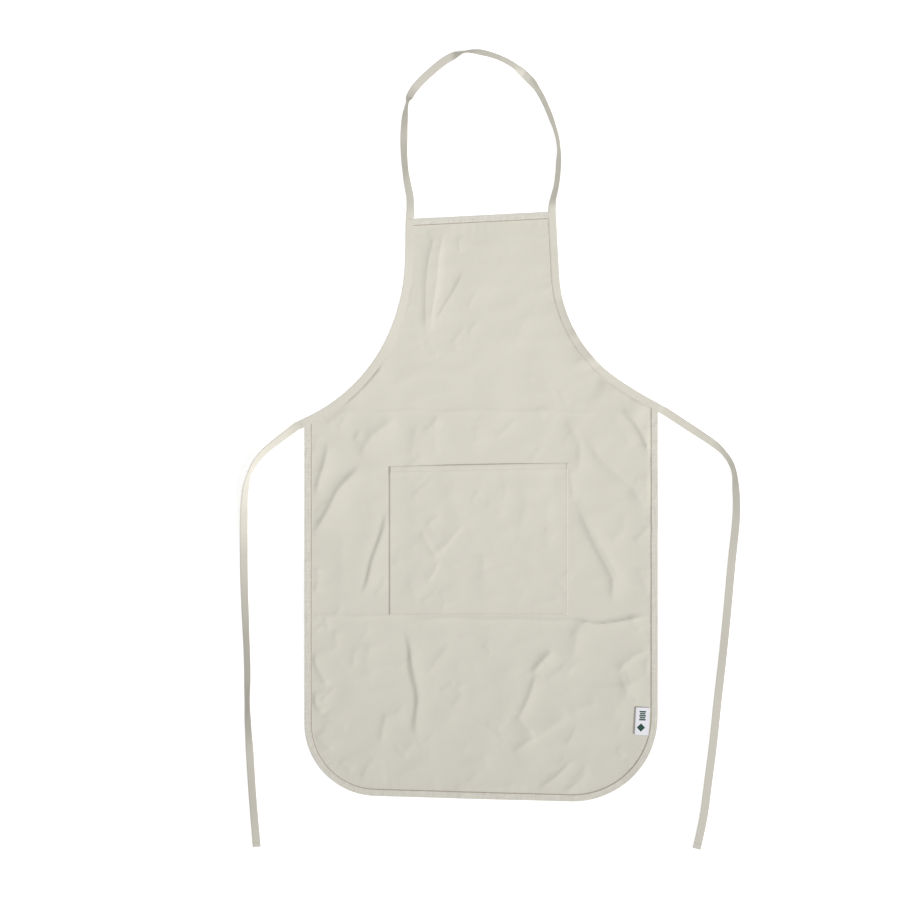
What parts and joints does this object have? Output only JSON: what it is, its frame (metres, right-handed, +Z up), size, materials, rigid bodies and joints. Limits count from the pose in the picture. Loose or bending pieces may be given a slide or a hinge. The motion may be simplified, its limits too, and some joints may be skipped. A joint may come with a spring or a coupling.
{
  "type": "bib apron",
  "caption": "Plain cotton bib apron laid flat, with a wide centre pocket, bound edges, a neck loop and long waist ties cut from one tape.",
  "frame": {"origin": "under the middle of the apron's box without its free tapes, on the surface it lies on", "axes": "+Z up, out of the front; +Y up the apron towards the bib; +X to the right as seen from the front"},
  "size_m": [0.7252, 1.1624, 0.0075],
  "materials": {
    "canvas": "matt unbleached cotton canvas",
    "tape": "matt folded cotton tape",
    "thread": "matt cotton thread",
    "label_ribbon": "soft satin ribbon",
    "label_ink": "matt print"
  },
  "bodies": {
    "apron": {"body_panel": "canvas", "skirt_edge_binding": "tape", "bib_top_binding": "tape", "left_armhole_tape": "tape", "right_armhole_tape": "tape", "pocket_panel": "canvas", "skirt_edge_stitching": "thread", "bib_top_stitching": "thread", "left_armhole_stitching": "thread", "right_armhole_stitching": "thread", "pocket_seam_stitching": "thread", "pocket_hem_stitching": "thread", "pocket_corner_tacks": "thread"},
    "neck_loop": {"neck_loop": "tape", "neck_loop_stitching": "thread"},
    "left_tie": {"left_tie": "tape", "left_tie_stitching": "thread", "left_tie_end_tack": "thread"},
    "right_tie": {"right_tie": "tape", "right_tie_stitching": "thread", "right_tie_end_tack": "thread"},
    "side_label": {"side_label": "label_ribbon", "label_print": "label_ink"}
  },
  "joints": [
    {"name": "neck_loop_fold", "type": "hinge", "parent": "apron", "child": "neck_loop", "pos_m": [0, 0.42208, 0.00245], "axis": [0.9987, 0.0501, 0], "range_deg": [0, 170]},
    {"name": "left_tie_swing", "type": "hinge", "parent": "apron", "child": "left_tie", "pos_m": [-0.26639, 0.11699, 0.0006], "axis": [0, 0, -1], "range_deg": [-4, 70]},
    {"name": "right_tie_swing", "type": "hinge", "parent": "apron", "child": "right_tie", "pos_m": [0.26571, 0.13839, 0.0006], "axis": [0, 0, 1], "range_deg": [-4, 70]},
    {"name": "label_flip", "type": "hinge", "parent": "apron", "child": "side_label", "pos_m": [0.2441, -0.3125, 0.0025], "axis": [0.0471, 0.9989, 0], "range_deg": [0, 165]}
  ]
}
